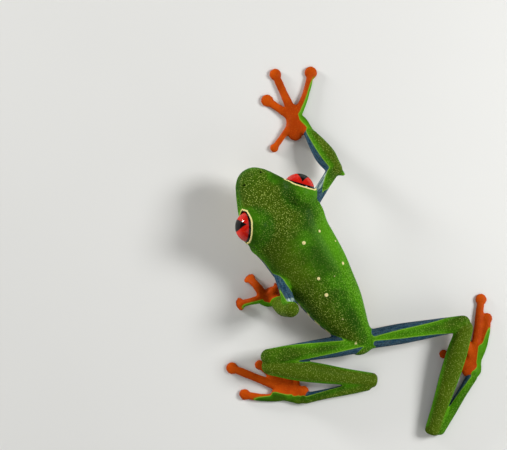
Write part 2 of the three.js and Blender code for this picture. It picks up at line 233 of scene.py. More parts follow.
# --- directions and smooth curves ---
def direction(heading, rise):
    heading, rise = math.radians(heading), math.radians(rise)
    return np.array([
        math.sin(heading) * math.cos(rise),
        -math.cos(heading) * math.cos(rise),
        math.sin(rise),
    ])


def step(start, aim, length):
    return np.asarray(start, float) + direction(*aim[:2]) * length


def unit(vector):
    return vector / np.linalg.norm(vector, axis=-1, keepdims=True)


def ramp(low, high, values):
    """A smooth step from 0 at low to 1 at high."""
    t = np.clip((values - low) / (high - low), 0, 1)
    return t * t * (3 - 2 * t)


def hump(values, width):
    """1 where the values are 0, falling off smoothly to both sides."""
    return np.exp(-((values / width) ** 2))


def curve_through(places, values, at):
    """Smooth values at the places asked for, through the ones given."""
    places, values = np.asarray(places, float), np.asarray(values, float)
    slopes = np.gradient(values, places, axis=0)
    at = np.clip(np.asarray(at, float), places[0], places[-1])
    left = np.clip(np.searchsorted(places, at, "right") - 1, 0, len(places) - 2)
    width = places[left + 1] - places[left]
    t = (at - places[left]) / width
    if values.ndim > 1:
        t, width = t[..., None], width[..., None]
    return (
        (1 + 2 * t) * (1 - t) ** 2 * values[left]
        + t * (1 - t) ** 2 * width * slopes[left]
        + t * t * (3 - 2 * t) * values[left + 1]
        + t * t * (t - 1) * width * slopes[left + 1]
    )


def profile(values):
    if len(values) == 1:
        return lambda t: np.full(np.shape(t), values[0], float)
    places = np.linspace(0, 1, len(values))
    return lambda t: curve_through(places, values, t)


# --- forms that the skin is wrapped over ---
def mesh_of(name, work):
    """A mesh made from a finished bmesh, which is freed."""
    mesh = bpy.data.meshes.new(name)
    work.to_mesh(mesh)
    work.free()
    return mesh


def add_form(forms, form):
    """Turns one finished form's faces outward, joins it to the others and frees it."""
    form.normal_update()
    bmesh.ops.recalc_face_normals(form, faces=form.faces)
    mesh = mesh_of("form", form)
    forms.from_mesh(mesh)
    bpy.data.meshes.remove(mesh)


def add_ball(forms, place, around, along):
    """Adds a ball whose vertices, on a unit ball with its poles on Z, are moved by place."""
    ball = bmesh.new()
    bmesh.ops.create_uvsphere(ball, u_segments=around, v_segments=along, radius=1)
    for vert, spot in zip(ball.verts, place(np.array([vert.co for vert in ball.verts]))):
        vert.co = spot
    add_form(forms, ball)


def round_axis(ball):
    """Which way each point of a unit ball lies from its axis."""
    ring = np.maximum(np.hypot(ball[:, 0], ball[:, 1]), 1e-9)
    return ball[:, 0] / ring, ball[:, 1] / ring


class Limb:
    """A round-ended limb along a gently bent line through three points."""

    STATIONS = 25

    def __init__(self, kind, points, widths, depths, **facts):
        self.kind = kind
        self.facts = PLAIN | facts
        points = np.array(points, float)
        spans = np.linalg.norm(np.diff(points, axis=0), axis=1)
        bend = spans[0] / spans.sum()
        fine = np.linspace(0, 1, 101)[:, None]
        line = (
            points[0] * (fine - bend) * (fine - 1) / bend
            + points[1] * fine * (fine - 1) / (bend * (bend - 1))
            + points[2] * fine * (fine - bend) / (1 - bend)
        )
        run = np.concatenate([[0], np.cumsum(np.linalg.norm(np.diff(line, axis=0), axis=1))])
        self.length = run[-1]
        self.places = np.linspace(0, 1, self.STATIONS)
        self.line = np.stack(
            [np.interp(self.places * self.length, run, line[:, axis]) for axis in range(3)], axis=1)
        self.tangents = unit(np.gradient(self.line, axis=0))
        self.lefts = unit(np.cross(UP, self.tangents))
        self.tops = np.cross(self.tangents, self.lefts)
        self.width = profile(widths)
        self.depth = profile(depths)

    def along(self, values, t):
        return curve_through(self.places, values, t)

    def place(self, ball):
        """Wraps points of a unit ball round the limb."""
        start, end = self.width(0.0), self.width(1.0)
        distance = (1 - ball[:, 2]) / 2 * (start + self.length + end) - start
        t = np.clip(distance / self.length, 0, 1)
        overrun = distance - t * self.length
        end_size = np.where(overrun < 0, start, end)
        power = np.where(overrun > 0, self.facts["squared_end"], 2.0)
        roundness = np.maximum(0, 1 - np.abs(overrun / end_size) ** power) ** (1 / power)
        across, above = round_axis(ball)
        across = across * roundness * self.width(t)
        above = above * roundness * self.depth(t)
        return (
            self.along(self.line, t)
            + self.along(self.tangents, t) * overrun[:, None]
            + self.along(self.lefts, t) * across[:, None]
            + self.along(self.tops, t) * above[:, None]
        )

    def measure(self, points):
        """Each point's place along the limb, length past an end, angle, radius, distance off."""
        nearest = ((points[:, None] - self.line[None]) ** 2).sum(2).argmin(1)
        offset = points - self.line[nearest]
        run = self.places[nearest] * self.length + (offset * self.tangents[nearest]).sum(1)
        t = np.clip(run / self.length, 0, 1)
        overrun = run - t * self.length
        across = (offset * self.lefts[nearest]).sum(1)
        above = (offset * self.tops[nearest]).sum(1)
        angle = np.arctan2(above, across)
        radius = 1 / np.hypot(np.cos(angle) / self.width(t), np.sin(angle) / self.depth(t))
        return t, overrun, angle, radius, np.hypot(np.hypot(across, above), overrun) - radius


class Body:
    """Head and trunk as one form with slightly squared sections."""

    def sections(self, y):
        from_vent = (VENT_Y - y) / BODY_LENGTH
        places, sizes = BODY_STATIONS[:, 0], BODY_STATIONS[:, 1:]
        middle, half, top, under = curve_through(places, sizes, from_vent).T
        return middle, half, top, under, under + (top - under) * WIDEST

    def place(self, ball):
        from_vent = (1 - ball[:, 2]) / 2 * BODY_LENGTH
        middle, half, top, under, centre = self.sections(VENT_Y - from_vent)
        to_end = np.minimum(from_vent, BODY_LENGTH - from_vent)
        rounding = np.where(from_vent < BODY_LENGTH / 2, VENT_ROUNDING, SNOUT_ROUNDING)
        roundness = np.sqrt(np.maximum(0, 1 - (1 - np.minimum(to_end / rounding, 1)) ** 2))
        height = np.where(ball[:, 1] > 0, top - centre, centre - under)
        squared = [np.sign(v) * np.abs(v) ** SQUARENESS for v in round_axis(ball)]
        return np.stack([
            middle + squared[0] * half * roundness,
            VENT_Y - from_vent,
            centre + squared[1] * height * roundness,
        ], axis=1)

    def measure(self, points):
        """Height over the widest line (-1 to 1), share of the half width, and distance off."""
        y = np.clip(points[:, 1], VENT_Y - BODY_LENGTH, VENT_Y)
        middle, half, top, under, centre = self.sections(y)
        height = np.where(points[:, 2] > centre, top - centre, centre - under)
        rise = (points[:, 2] - centre) / height
        side = (points[:, 0] - middle) / half
        beyond = np.maximum(points[:, 1] - VENT_Y, VENT_Y - BODY_LENGTH - points[:, 1])
        off = (np.hypot(rise, side) - 1) * np.minimum(height, half)
        return rise, side, np.maximum(off, beyond)


BODY = Body()
MIDWAY = np.array([HEAD_MIDDLE, EYE_Y, EYE_HEIGHT])
AHEAD = direction(HEAD_YAW, 0)
LEFTWARD = direction(HEAD_YAW + 90, 0)


def head_point(side, ahead, up):
    return MIDWAY + LEFTWARD * side + AHEAD * ahead + UP * up


class Eye:
    """Where one eye sits: its centre and its own axes, the first along its gaze."""

    def __init__(self, side):
        self.side = side
        sign = 1 if side == "left" else -1
        self.centre = head_point(sign * EYE_SPREAD / 2, 0, 0)
        self.gaze = direction(HEAD_YAW + sign * (90 - EYE_FACING), EYE_LOOK_UP)
        across = unit(np.cross(UP, self.gaze))
        self.axes = np.stack([self.gaze, across, np.cross(self.gaze, across)])
        self.pupil_shift = 0.4 if side == "left" else 0.0

    def outward(self, points):
        """Points in the eye's own axes."""
        return (points - self.centre) @ self.axes.T

    def inward(self, points):
        return points @ self.axes + self.centre


EYES = [Eye("left"), Eye("right")]


def lids(eye):
    """A ball round the eye, cut flat where the lids open."""
    def place(ball):
        spots = ball[:, [2, 0, 1]] * SKIN_LID_RADIUS
        spots[:, 0] = np.minimum(spots[:, 0], LID_DEPTH + LID_OPENING) - LID_DEPTH
        return eye.inward(spots)
    return place


def straight(kind, start, end, sections=None, **facts):
    start = np.array(start)
    return Limb(kind, (start, (start + end) / 2, end), *(sections or SECTIONS[kind]), **facts)


def digit(root, aim, share, sizes, **facts):
    """A finger or toe, its knuckle raised where it's drawn in to a share of its reach."""
    reach, half_width, pad = sizes
    reach *= share
    tip = step(root, (aim[0], 0), reach)
    tip[2] = PAD_THICKNESS / 2 - PRESSED
    start = root + (tip - root) * 0.6 / reach
    middle = (root + tip) / 2 + direction(aim[0] + 90, 0) * aim[1]
    middle[2] = DIGIT_HALF_DEPTH - PRESSED + (1 - share) * KNUCKLE_RAISE
    widths = [half_width * taper for taper in DIGIT_TAPER]
    depths = (DIGIT_HALF_DEPTH,) * 4 + (DIGIT_HALF_DEPTH * 0.9,) * 2
    facts.update(pad=pad, reach=reach, warm=-1)
    return Limb("digit", (start, middle, tip), widths, depths, **facts)


def web_extent(digit, limit):
    return min(digit.facts["reach"] * WEB_REACH, limit)


def soft_heel(back, root, size, share, outer):
    """The broad pad on the inner side of a wrist or ankle, which runs on to the digits."""
    ahead, inward, half = size
    forward = unit((root - back) * (1, 1, 0))
    heel = back + forward * ahead * share + np.cross(forward, UP) * outer * inward * share
    heel[2] = HEEL_HALF_DEPTH - PRESSED
    return straight("heel", heel, root, ((half,) * 2, (HEEL_HALF_DEPTH,) * 2), warm=-1)


def outer_bone(back, root, toe, outer, **facts):
    """The outer edge of a foot, which runs straight from the ankle to the outermost toe."""
    ahead, out, half = FOOT_EDGE
    forward = unit((root - back) * (1, 1, 0))
    extent = web_extent(toe, FOOT_WEB_LIMIT) - half - BONE_CLEARANCE
    end = root + (toe.line[-1] - root) * extent / toe.facts["reach"]
    start = back + forward * ahead - np.cross(forward, UP) * outer * out
    start[2] = end[2]
    facts.update(warm=-1, green=(90 - outer * 50,), half=(80, 84))
    return straight("edge", start, end, ((half,) * 2, (HEEL_HALF_DEPTH,) * 2), **facts)


def make_limbs():
    """Every limb and digit, the fans of digits that webs join, and where limbs fold."""
    limbs, fans, folds = [], [], []
    for pose in SIDES:
        outer = pose["outer"]
        elbow = step(pose["shoulder"], pose["upper_arm"], UPPER_ARM)
        wrist = step(elbow, pose["forearm"], FOREARM)
        palm = step(wrist, pose["palm"], PALM * pose["palm_share"])
        knee_above = step(pose["hip"], pose["thigh"], THIGH)
        knee_below = step(knee_above, pose["knee"], pose["knee"][2])
        heel_above = step(knee_below, pose["shank"], SHANK)
        heel_below = step(heel_above, pose["heel"], pose["heel"][2])
        ankle = step(heel_below, pose["tarsus"], TARSUS)
        sole = step(ankle, pose["sole"], SOLE)
        outer_side = (90 - outer * 72,)
        # The less olive a foot is, the more painted rim light its edges get.
        foot = {"olive": pose["tarsus_olive"], "rim": 0.7 - 0.7 * pose["tarsus_olive"]}
        limbs += [
            straight("upper_arm", pose["shoulder"], elbow, olive=0.5, rim=0.25,
                     green=(pose["arm_green"],), half=pose["arm_green_half"],
                     sheen=pose["arm_sheen"], cover=pose["arm_cover"]),
            straight("forearm", elbow, wrist, olive=0.85, warm=pose["sleeve"],
                     green=(pose["forearm_green"],), half=pose["forearm_green_half"]),
            straight("palm", wrist, palm, warm=-1, olive=0.35, green=outer_side, half=(60, 52, 45)),
            straight("thigh", pose["hip"], knee_above, half=pose["thigh_green"], olive=0.5),
            straight("shank", knee_below, heel_above, half=(98, 92, 92, 96), olive=1.0, rim=0.9,
                     grain=0.5, squared_end=3.5),
            straight("tarsus", heel_below, ankle, warm=1, half=(100, 90, 84),
                     green=(90 - outer * 26, 90 - outer * 35, 90 - outer * 62), **foot),
            straight("sole", ankle, sole, warm=-1, green=outer_side, half=(80, 70, 66), **foot),
        ]
        fingers = [
            digit(palm, aim, pose["finger_share"], sizes, green=outer_side,
                  half=(64, 62, 58, 48, -10) if sizes is FINGERS[-1] else NO_GREEN)
            for aim, sizes in zip(pose["fingers"], FINGERS)
        ]
        toes = [
            digit(sole, aim, 1, sizes, green=(90 - outer * 48,),
                  half=(105, 100, 92, 50, -70) if sizes is TOES[-1] else NO_GREEN, **foot)
            for aim, sizes in zip(pose["toes"], TOES)
        ]
        limbs += fingers + toes
        if pose["elbow_point"]:
            point = elbow + pose["elbow_point"]
            limbs.append(straight("spur", elbow, point, half=(100,), olive=0.4))
        limbs += [
            soft_heel(wrist, palm, HAND_HEEL, pose["palm_share"], outer),
            soft_heel(ankle, sole, FOOT_HEEL, 1, outer),
            outer_bone(ankle, sole, toes[-1], outer, **foot),
        ]
        fans += [(fingers, HAND_WEB_LIMIT), (toes, FOOT_WEB_LIMIT)]
        folds += [knee_above, heel_above]
    return limbs, fans, folds


LIMBS, FANS, FOLDS = make_limbs()


def add_web(forms, digits, limit):
    """A thin fan of skin between two digits, its free edge drawn in towards the palm."""
    web = bmesh.new()
    bmesh.ops.create_grid(web, x_segments=14, y_segments=12, size=1)
    share, out = (np.array([vert.co for vert in web.verts])[:, :2].T + 1) / 2
    out = out * (1 - WEB_SCALLOP * 4 * share * (1 - share))
    near, far = (
        digit.along(digit.line, out * web_extent(digit, limit) / digit.facts["reach"])
        for digit in digits)
    for vert, spot in zip(web.verts, near + (far - near) * share[:, None]):
        vert.co = spot
    web.normal_update()
    bmesh.ops.solidify(web, geom=web.faces[:], thickness=WEB_THICKNESS)
    add_form(forms, web)


def add_pad(forms, limb):
    radius = limb.facts["pad"] + SKIN_SHRINK
    tip, tangent, left = limb.line[-1], limb.tangents[-1], limb.lefts[-1]
    def place(ball):
        return (
            tip
            + ball[:, :1] * tangent * radius * 1.02
            + ball[:, 1:2] * left * radius
            + ball[:, 2:] * UP * PAD_THICKNESS * 0.56
        )
    add_ball(forms, place, 28, 20)


# --- the skin's mesh ---
def rows(items, attribute, width, kind):
    values = np.empty(len(items) * width, kind)
    items.foreach_get(attribute, values)
    return values.reshape(-1, width)


class Surface:
    """A mesh as arrays, for moving its vertices along their normals or to their neighbours."""

    def __init__(self, mesh):
        self.mesh = mesh
        self.points = rows(mesh.vertices, "co", 3, float)
        self.edges = rows(mesh.edges, "vertices", 2, int)
        self.degree = np.maximum(np.bincount(self.edges.ravel(), minlength=len(self.points)), 1)
        mesh.calc_loop_triangles()
        self.triangles = rows(mesh.loop_triangles, "vertices", 3, int)

    def neighbour_mean(self, values):
        if values.ndim > 1:
            return np.stack([self.neighbour_mean(column) for column in values.T], axis=1)
        one, two = self.edges.T
        count = len(self.points)
        sums = np.bincount(one, values[two], count) + np.bincount(two, values[one], count)
        return sums / self.degree

    def normals(self):
        corners = self.points[self.triangles]
        faces = np.cross(corners[:, 1] - corners[:, 0], corners[:, 2] - corners[:, 0])
        count = len(self.points)
        total = np.zeros((count, 3))
        for corner in range(3):
            for axis in range(3):
                total[:, axis] += np.bincount(self.triangles[:, corner], faces[:, axis], count)
        return total / np.maximum(np.linalg.norm(total, axis=1, keepdims=True), 1e-12)

    def fill_creases(self, rounds, share):
        """Raises hollow creases to their surroundings, so that the forms join softly."""
        for _ in range(rounds):
            normals = self.normals()
            hollow = ((self.neighbour_mean(self.points) - self.points) * normals).sum(1)
            self.points += normals * (np.maximum(hollow, 0) * share)[:, None]

    def smooth(self, rounds):
        for _ in range(rounds):
            for factor in SMOOTHING:
                self.points += (self.neighbour_mean(self.points) - self.points) * factor

    def smooth_values(self, values, rounds):
        for _ in range(rounds):
            values = (values + self.neighbour_mean(values)) / 2
        return values

    def write(self, name, values):
        layer = self.mesh.attributes.new(name, "FLOAT", "POINT")
        layer.data.foreach_set("value", values.astype(np.float32))

    def store(self):
        self.mesh.vertices.foreach_set("co", self.points.ravel())
        self.mesh.update()


def new_object(name, data):
    made = bpy.data.objects.new(name, data)
    bpy.context.scene.collection.objects.link(made)
    return made


def remeshed(mesh, voxel):
    """One closed skin over all the forms of a mesh."""
    holder = new_object("forms", mesh)
    remesh = holder.modifiers.new("Remesh", "REMESH")
    remesh.mode = "VOXEL"
    remesh.voxel_size = voxel
    depsgraph = bpy.context.evaluated_depsgraph_get()
    result = bpy.data.meshes.new_from_object(holder.evaluated_get(depsgraph))
    bpy.data.objects.remove(holder)
    return result


def refined(mesh, wanted):
    """Splits the faces whose corners are all wanted into four."""
    work = bmesh.new()
    work.from_mesh(mesh)
    chosen = wanted(np.array([vert.co for vert in work.verts]))
    edges = [edge for edge in work.edges if all(chosen[vert.index] for vert in edge.verts)]
    bmesh.ops.subdivide_edges(work, edges=edges, cuts=1, use_grid_fill=True)
    work.to_mesh(mesh)
    work.free()
    return mesh


# --- sculpted detail ---
def mouth_height(y):
    """Height of the mouth's line along the head."""
    return np.interp(y, (-44.0, -40.0, -34.0, -29.0, -26.0), (9.9, 9.4, 8.6, 8.0, 7.7))


def on_top(x, y):
    """The point of the body's upper surface over x and y."""
    middle, half, top, _, centre = BODY.sections(y)
    side = abs(x - middle) / half
    z = centre + (top - centre) * (1 - side ** (2 / SQUARENESS)) ** (SQUARENESS / 2)
    return np.array([x, y, z])


NOSTRILS = [on_top(*head_point(sign * 2.6, 9.0, 0)[:2]) for sign in (1, -1)]
WART_SPOTS = [(on_top(x, y), radius) for x, y, radius in WARTS]
CHEEK = head_point(-5.2, 6.0, 2.2)  # a smooth bright patch ahead of the right eye
EARS = [head_point(sign * (EAR_PLACE[0] + 1.1), EAR_PLACE[1], EAR_PLACE[2]) for sign in (1, -1)]


def distance_to(points, spot):
    return np.linalg.norm(points - spot, axis=1)


def off_mouth(points):
    """Signed height above the mouth's line, and where along the head the line runs."""
    return points[:, 2] - mouth_height(points[:, 1]), ramp(-25.5, -28.5, points[:, 1])


def crease_softness(points):
    """How softly the forms join: least where a knee or heel folds."""
    share = np.full(len(points), 0.8)
    for fold in FOLDS:
        share *= 0.12 + 0.88 * ramp(5.0, 9.0, distance_to(points, fold))
    return share


def near_detail(points):
    """Where the skin needs a finer mesh: lids, nostrils, mouth and warts."""
    wanted = np.zeros(len(points), bool)
    for eye in EYES:
        own = eye.outward(points)
        wanted |= (np.abs(own[:, 0] - LID_OPENING) < 0.8) & (np.hypot(own[:, 1], own[:, 2]) < 5.2)
    for spot in NOSTRILS:
        wanted |= distance_to(points, spot) < 1.1
    for spot, radius in WART_SPOTS:
        wanted |= distance_to(points, spot) < radius + 0.4
    height, run = off_mouth(points)
    wanted |= (np.abs(height) < 0.5) & (run > 0) & (points[:, 1] < -25.5)
    return wanted


def sculpt_head(skin):
    """Canthal ridges, hollow cheeks, crown, nostrils, mouth, eardrums and the fold over them."""
    points = skin.points
    _, y, z = points.T
    normals = skin.normals()
    own = points - MIDWAY
    ahead, side = own @ AHEAD, own @ LEFTWARD
    lift = np.zeros(len(points))
    in_head = ramp(-24.0, -28.0, y)
    ridge_side = np.interp(ahead, (2.0, 9.0, 12.0), (6.6, 3.0, 2.0))
    ridge_span = ramp(1.0, 3.5, ahead) * ramp(11.5, 9.0, ahead)
    upper = ramp(11.5, 12.8, z)
    lift += 0.35 * hump(np.abs(side) - ridge_side, 0.8) * ridge_span * upper
    cheek = hump(z - 11.3, 1.0) * ridge_span
    lift -= 0.45 * cheek * ramp(0.3, 0.8, np.abs(normals @ LEFTWARD))
    crown = hump(side, 2.6) * hump(ahead + 0.5, 4.5) * upper
    lift -= 0.3 * crown * in_head
    height, run = off_mouth(points)
    lift -= 0.34 * hump(height, 0.17) * run
    lift += 0.16 * hump(height - 0.55, 0.35) * run
    lift += 0.1 * hump(height + 0.6, 0.4) * run
    for spot in NOSTRILS:
        gap = distance_to(points, spot)
        lift += 0.16 * hump(gap - 0.55, 0.28) - 0.55 * hump(gap, 0.27)
    for spot, sign in zip(EARS, (1, -1)):
        gap = distance_to(points, spot)
        lift += 0.2 * hump(gap - 1.25, 0.22) - 0.18 * hump(gap, 0.9)
        fold_height = 12.3 + 0.42 * (spot[1] - y)
        fold = hump(z - fold_height, 0.5)
        reach = ramp(-34.0, -31.5, y) * ramp(-21.0, -24.5, y)
        lift += 0.28 * fold * reach * ramp(0.2, 0.7, sign * (normals @ LEFTWARD))
    for spot, radius in WART_SPOTS:
        lift += 0.22 * hump(distance_to(points, spot), radius * 0.9)
    skin.points = points + normals * lift[:, None]


def carve_sockets(skin):
    """Turns the face of each lid ball into a socket clear of the eyeball, and rolls its edge."""
    skin.lid_gap = np.full(len(skin.points), 9.0)
    for eye in EYES:
        own = eye.outward(skin.points)
        radius = np.hypot(own[:, 1], own[:, 2])
        close = (own[:, 0] > -1.0) & (np.linalg.norm(own, axis=1) < LID_RADIUS + 0.6)
        inside = close & (radius < SOCKET_OPENING)
        from_back = radius[inside] / SOCKET_OPENING * math.acos(-LID_OPENING / SOCKET_RADIUS)
        wide = np.sin(from_back) * SOCKET_RADIUS / np.maximum(radius[inside], 1e-6)
        own[inside, 1:] *= wide[:, None]
        own[inside, 0] = -np.cos(from_back) * SOCKET_RADIUS
        one, two = skin.edges.T
        edge = own[np.union1d(one[~inside[one] & inside[two]], two[~inside[two] & inside[one]])]
        near = np.flatnonzero(close | (np.linalg.norm(own, axis=1) < LID_RADIUS + 0.6))
        gap = np.sqrt(((own[near, None] - edge[None]) ** 2).sum(2)).min(1)
        skin.lid_gap[near] = np.where(inside[near], -gap, gap)
        skin.points[inside] = eye.inward(own[inside])
    roll = 0.08 * hump(skin.lid_gap - LID_ROLL, 0.22)
    skin.points += skin.normals() * roll[:, None]


# --- markings ---
def stripe(angle, centre, half, radius):
    """Signed distance inside a stripe that runs along a limb."""
    away = np.abs((angle - np.radians(centre) + math.pi) % (2 * math.pi) - math.pi)
    return (np.radians(half) - away) * radius


def body_markings(points):
    """Green back, blue flank, pale belly; on the head the mouth parts green from pale."""
    rise, side, off = BODY.measure(points)
    _, y, z = points.T
    _, _, top, under, centre = BODY.sections(np.clip(y, VENT_Y - BODY_LENGTH, VENT_Y))
    in_head = ramp(-21.0, -28.0, y)
    at_rump = ramp(3.5, 8.5, y)
    flank_line = centre + (top - centre) * 0.17 - at_rump * 3.2
    green_line = flank_line * (1 - in_head) + mouth_height(y) * in_head
    belly_line = centre - (centre - under) * 0.5
    pale_line = belly_line * (1 - in_head) + (mouth_height(y) - 0.05) * in_head
    spacing = 3.3
    slant = y + 0.45 * (z - centre)
    to_bar = np.abs((slant + 0.5 * np.sin(slant * 1.7)) % spacing - spacing / 2)
    bars = 0.5 - to_bar
    bars -= ramp(-17.5, -20.5, y) * 2 + ramp(3.0, 6.0, y) * 2
    return {
        "green": z - green_line,
        "warm": np.full(len(points), -2.0),
        "pale": pale_line - z,
        "bars": bars,
        "sheen": np.full(len(points), -2.0),
        "olive": body_olive(points, rise, side),
    }, off


def paint(skin):
    """Stores the markings as signed distances to their edges, in millimetres."""
    points = skin.points
    fields, nearest = body_markings(points)
    around, along = np.zeros((2, len(points)))
    # rim holds the strength of the painted rim light along the green's edges.
    rim, coarseness = np.full(len(points), 0.35), np.ones(len(points))
    for limb in LIMBS:
        low, high = limb.line.min(0) - LIMB_REACH, limb.line.max(0) + LIMB_REACH
        close = np.flatnonzero(((points > low) & (points < high)).all(1))
        t, overrun, angle, radius, off = limb.measure(points[close])
        won = off < nearest[close]
        if limb.kind in ("thigh", "upper_arm"):
            won &= overrun > -0.01
        own = close[won]
        t, overrun, angle, radius = (values[won] for values in (t, overrun, angle, radius))
        nearest[own] = off[won]
        facts = limb.facts
        around[own], along[own] = angle * radius, t * limb.length
        rim[own], coarseness[own] = facts["rim"], facts["grain"]
        warm = facts["warm"] == -1
        past = ramp(0.1, 1.1, np.abs(overrun)) * (not warm)
        half = profile(facts["half"])(t)
        green = stripe(angle, profile(facts["green"])(t), half + 110 * past, radius)
        if "cover" in facts:
            centre, cover_half = facts["cover"]
            green = np.maximum(green, stripe(angle, centre, profile(cover_half)(t), radius))
        fields["green"][own] = green
        fields["olive"][own] = facts["olive"] * ramp(0.5, 2.0, green)
        fields["pale"][own] = -2 if warm else stripe(angle, -90, 38 - 90 * past, radius)
        fields["bars"][own] = -2
        # Painted highlight on the knee, just past the thigh's end.
        fields["sheen"][own] = overrun - 1.1 if limb.kind == "thigh" else -2
        # Painted highlight strip along the upper arm.
        if "sheen" in facts:
            centre, sheen_half, start = facts["sheen"]
            fields["sheen"][own] = np.minimum(
                stripe(angle, centre, sheen_half, radius), (t - start) * limb.length)
        if facts["warm"] is None:
            fields["warm"][own] = -2
        elif warm:
            fields["warm"][own] = t * limb.length + 0.3 if limb.kind in ("palm", "sole") else 1.5
        else:
            fields["warm"][own] = (t - facts["warm"]) * limb.length
    for name, values in fields.items():
        skin.write(name + "_edge", skin.smooth_values(values, 6))
    to_warts = [distance_to(points, spot) / radius for spot, radius in WART_SPOTS]
    skin.write("wart", np.min(to_warts, axis=0))
    skin.write("nostril", np.min([distance_to(points, spot) for spot in NOSTRILS], axis=0))
    height, run = off_mouth(points)
    skin.write("mouth", np.abs(height) + (1 - run) * 3)
    skin.write("lid", skin.lid_gap)
    grain = grain_share(points, fields, skin.lid_gap) * coarseness
    skin.write("grain", skin.smooth_values(grain, 8))
    skin.write("rim", skin.smooth_values(rim, 8))
    skin.write("around", around)
    skin.write("along", along)


def body_olive(points, rise, side):
    """Where the body's green is browner (above 0) or more vivid (below 0). The crown's olive is its
    own tone; the browner left of the back is painted shade, and the vivid right of the neck and
    back is painted light.
    """
    # Painted shade: the back turns browner towards its left, away from the light.
    back = ramp(0.2, 0.8, rise) * ramp(-0.3, 0.6, side)
    head = ramp(-20.0, -29.0, points[:, 1])
    snout = ramp(-35.0, -42.0, points[:, 1])
    share = back * 0.8 * (1 - head) + ramp(0.3, 0.8, rise) * head * (1 - 0.45 * snout)
    # Painted light: vivid green on the right of the neck and back.
    share -= 0.9 * ramp(-0.1, -0.75, side) * ramp(-33.0, -28.0, points[:, 1])
    share *= ramp(1.6, 3.4, distance_to(points, CHEEK))
    for eye in EYES:
        share *= ramp(4.6, 6.4, distance_to(points, eye.centre - eye.gaze))
    return share


def grain_share(points, fields, lid_gap):
    """How granular the skin is: most on head and back, least on hands and lids."""
    share = 0.35 + 0.65 * ramp(-0.4, 0.8, fields["green"])
    share *= 1 - 0.75 * ramp(0.0, 1.0, fields["warm"])
    share *= 0.15 + 0.85 * ramp(0.8, 2.6, lid_gap)
    y = points[:, 1]
    share *= 1 - 0.5 * ramp(-26.0, -21.0, y) * ramp(-8.0, -14.0, y)
    return share * (0.2 + 0.8 * ramp(1.6, 3.0, distance_to(points, CHEEK)))


# --- materials ---
def operator(operation):
    return lambda value, other: value.math(operation, other)


class Value:
    """A number or vector socket that Python's operators can work on."""

    def __init__(self, shader, socket):
        self.shader = shader
        self.socket = socket

    def math(self, operation, *others):
        return self.shader.node("ShaderNodeMath", {"operation": operation}, [self, *others])

    __add__ = __radd__ = operator("ADD")
    __sub__ = operator("SUBTRACT")
    __mul__ = __rmul__ = operator("MULTIPLY")
    __truediv__ = operator("DIVIDE")
    __pow__ = operator("POWER")

    def __rsub__(self, other):
        return self.shader.node("ShaderNodeMath", {"operation": "SUBTRACT"}, [other, self])

    def size(self):
        return self.math("ABSOLUTE")

    def between(self, low, high, to_low=0.0, to_high=1.0):
        """A smooth step from to_low to to_high as the value goes from low to high."""
        return self.shader.node("ShaderNodeMapRange", {"interpolation_type": "SMOOTHSTEP"},
                                [self, low, high, to_low, to_high])


class Shader:
    """One material's node tree, filled by calling node()."""

    def __init__(self, name):
        self.material = bpy.data.materials.new(name)
        self.material.use_nodes = True
        self.tree = self.material.node_tree
        self.tree.nodes.clear()

    def node(self, kind, settings=None, inputs=(), output=0):
        made = self.tree.nodes.new(kind)
        for key, value in (settings or {}).items():
            setattr(made, key, value)
        named = inputs.items() if isinstance(inputs, dict) else enumerate(inputs)
        for key, value in named:
            if isinstance(value, Value):
                self.tree.links.new(value.socket, made.inputs[key])
            else:
                made.inputs[key].default_value = value
        return Value(self, made.outputs[output]) if made.outputs else None

    def coordinates(self, centre=(0, 0, 0), rotation=(0, 0, 0)):
        """Object coordinates in millimetres, measured from a centre and along turned axes."""
        place = self.node("ShaderNodeTexCoord", output="Object")
        return self.node("ShaderNodeMapping", {"vector_type": "TEXTURE"}, {
            "Vector": place, "Location": [c * MM for c in centre],
            "Rotation": rotation, "Scale": (MM, MM, MM)})

    def attribute(self, name):
        return self.node("ShaderNodeAttribute", {"attribute_name": name}, output="Fac")

    def noise(self, vector, scale, detail, roughness=0.55):
        return self.node("ShaderNodeTexNoise", None, {
            "Vector": vector, "Scale": scale, "Detail": detail, "Roughness": roughness})

    def cells(self, vector, scale):
        inputs = {"Vector": vector, "Scale": scale}
        return self.node("ShaderNodeTexVoronoi", None, inputs, "Distance")

    def axis(self, vector, number):
        return self.node("ShaderNodeSeparateXYZ", None, [vector], number)

    def combined(self, *values):
        return self.node("ShaderNodeCombineXYZ", None, values)

    def mix(self, share, one, two):
        return self.node("ShaderNodeMix", {"data_type": "RGBA"}, {0: share, 6: one, 7: two}, 2)

    def bump(self, height, distance):
        return self.node("ShaderNodeBump", None, {
            "Strength": 1.0, "Distance": distance * MM, "Height": height})

    def finish(self, **sockets):
        names = {key.replace("_", " "): value for key, value in sockets.items()}
        surface = self.node("ShaderNodeBsdfPrincipled", None, names)
        self.node("ShaderNodeOutputMaterial", None, {"Surface": surface})
        return self.material


